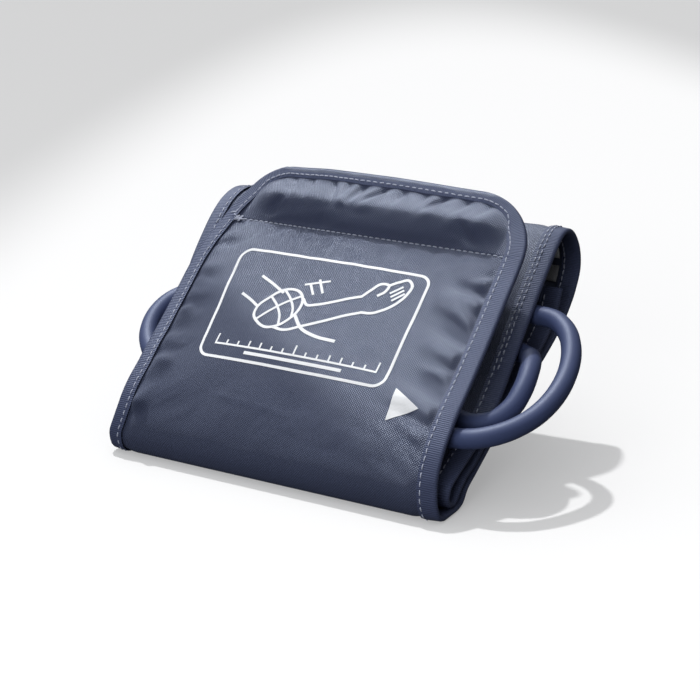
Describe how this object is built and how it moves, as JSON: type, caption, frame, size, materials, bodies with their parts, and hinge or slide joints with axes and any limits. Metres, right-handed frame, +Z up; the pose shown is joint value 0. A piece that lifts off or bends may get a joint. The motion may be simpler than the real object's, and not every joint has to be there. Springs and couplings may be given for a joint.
{
  "type": "blood pressure cuff",
  "caption": "Upper-arm blood pressure cuff rolled up for storage, with its air hose wound through the roll and a printed front panel that opens.",
  "frame": {"origin": "bottom centre of the rolled cuff's box, without its hose and plug, on the surface it stands on", "axes": "+X along the cuff's width (the hose's loops are at +X), +Z up; the printed front panel faces -Y and leans back towards +Y"},
  "size_m": [0.1909, 0.1281, 0.1059],
  "materials": {
    "nylon_cover": "woven nylon with a low sheen",
    "nylon_lining": "matt woven nylon",
    "binding_tape": "ribbed grosgrain tape",
    "bladder_film": "smooth film",
    "hook_tape": "stiff hook tape",
    "loop_pile": "soft brushed pile",
    "woven_label": "woven label",
    "grey_label": "woven label",
    "port_plastic": "moulded",
    "hose_rubber": "satin",
    "plug_plastic": "moulded",
    "seal_rubber": "satin",
    "print_white": "transfer print"
  },
  "bodies": {
    "root": {"cover_roll": "nylon_cover", "lining_roll": "nylon_lining", "binding_roll_left": "binding_tape", "binding_roll_right": "binding_tape", "binding_inner_end": "binding_tape", "port_grommet": "binding_tape", "air_bladder": "bladder_film", "loop_patch": "loop_pile", "care_label": "woven_label", "grey_label": "grey_label", "tube_port": "port_plastic", "air_hose": "hose_rubber", "plug_collar": "port_plastic", "plug_body": "plug_plastic", "plug_seal": "seal_rubber"},
    "front_panel": {"cover_front": "nylon_cover", "lining_front": "nylon_lining", "binding_front_left": "binding_tape", "binding_front_right": "binding_tape", "hook_patch": "hook_tape", "artery_mark": "print_white"},
    "finger_tab": {"cover_tab": "nylon_cover", "lining_tab": "nylon_lining", "binding_tab": "binding_tape"}
  },
  "joints": [
    {"name": "front_panel_open", "type": "hinge", "parent": "root", "child": "front_panel", "pos_m": [0, -0.06276, 0.007], "axis": [1, 0, 0], "range_deg": [0, 115]},
    {"name": "finger_tab_peel", "type": "hinge", "parent": "front_panel", "child": "finger_tab", "pos_m": [0, 0.00954, 0.0842], "axis": [1, 0, 0], "range_deg": [0, 70]}
  ]
}
